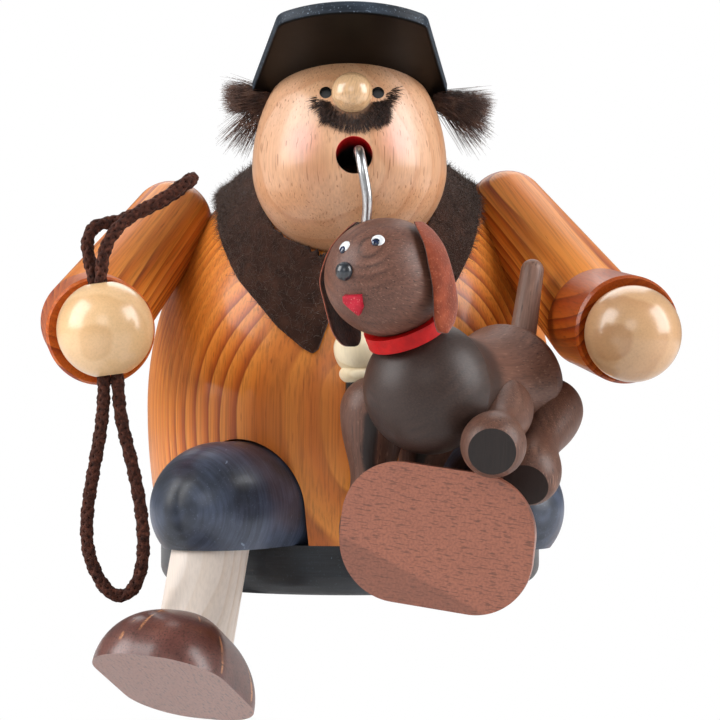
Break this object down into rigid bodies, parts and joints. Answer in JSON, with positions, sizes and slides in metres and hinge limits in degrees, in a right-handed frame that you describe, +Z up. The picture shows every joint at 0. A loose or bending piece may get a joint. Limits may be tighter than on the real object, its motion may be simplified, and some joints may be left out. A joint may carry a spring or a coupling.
{
  "type": "incense smoker figure",
  "caption": "Seated turned-wood incense smoker with cap, pipe and leash, a dog on one knee; the hollow upper body lifts off for the incense cone.",
  "frame": {"origin": "centre of the flat underside of the seat base", "axes": "+Z up, the figure looks along -Y, +X to the viewer's right"},
  "size_m": [0.1289, 0.1397, 0.1428],
  "materials": {
    "slate_paint": "slate blue stain under satin lacquer, fine scratches",
    "larch": "amber larch with dark growth lines, glossy clear lacquer",
    "beech": "pale beech with short dark flecks, satin lacquer",
    "maple": "pale maple, satin lacquer",
    "pale_shin": "whitish maple, matt lacquer",
    "shoe_wood": "red-brown stained beech, satin lacquer",
    "dog_wood": "dark walnut stain, satin",
    "bead_black": "gloss black bead",
    "red_paint": "red lacquer",
    "bowl_wood": "cream lacquer, turned rings",
    "felt": "dark brown wool felt",
    "fur": "dark brown fur",
    "leather": "rust suede leather",
    "cord": "braided dark brown cord",
    "steel_wire": "polished wire",
    "plate_metal": "pressed sheet",
    "screw_steel": "zinc-plated"
  },
  "bodies": {
    "seat": {"seat_base": "slate_paint", "incense_plate": "plate_metal", "plate_screw": "screw_steel", "right_thigh": "slate_paint", "left_thigh": "slate_paint", "right_thigh_dowel": "maple", "left_thigh_dowel": "maple", "right_shin": "pale_shin", "left_shin": "pale_shin", "right_shoe": "shoe_wood", "left_shoe": "shoe_wood", "dog_body": "dog_wood", "dog_head": "dog_wood", "dog_nose": "bead_black", "dog_ear_left": "leather", "dog_ear_right": "leather", "dog_tongue": "red_paint", "dog_collar": "red_paint", "dog_tail": "dog_wood", "dog_leg_front_left": "dog_wood", "dog_leg_front_right": "dog_wood", "dog_leg_rear_left": "dog_wood", "dog_leg_rear_right": "dog_wood", "dog_peg": "maple"},
    "upper": {"jacket": "larch", "head": "beech", "nose": "maple", "moustache": "fur", "right_hair_tuft": "fur", "left_hair_tuft": "fur", "cap_crown": "slate_paint", "cap_visor": "slate_paint", "cap_dowel": "maple", "felt_collar": "felt", "right_upper_arm": "larch", "left_upper_arm": "larch", "right_sleeve": "larch", "left_sleeve": "larch", "right_shoulder_dowel": "maple", "left_shoulder_dowel": "maple", "right_hand": "maple", "left_hand": "maple", "right_hand_dowel": "maple", "left_hand_dowel": "maple", "pipe_stem": "steel_wire", "pipe_bowl": "bowl_wood", "pipe_foot": "bead_black", "leash_upper_loop": "cord", "leash_lower_loop": "cord"}
  },
  "joints": [
    {"name": "jacket_lift", "type": "slide", "parent": "seat", "child": "upper", "axis": [0, 0, 1], "range_m": [0, 0.09]}
  ]
}
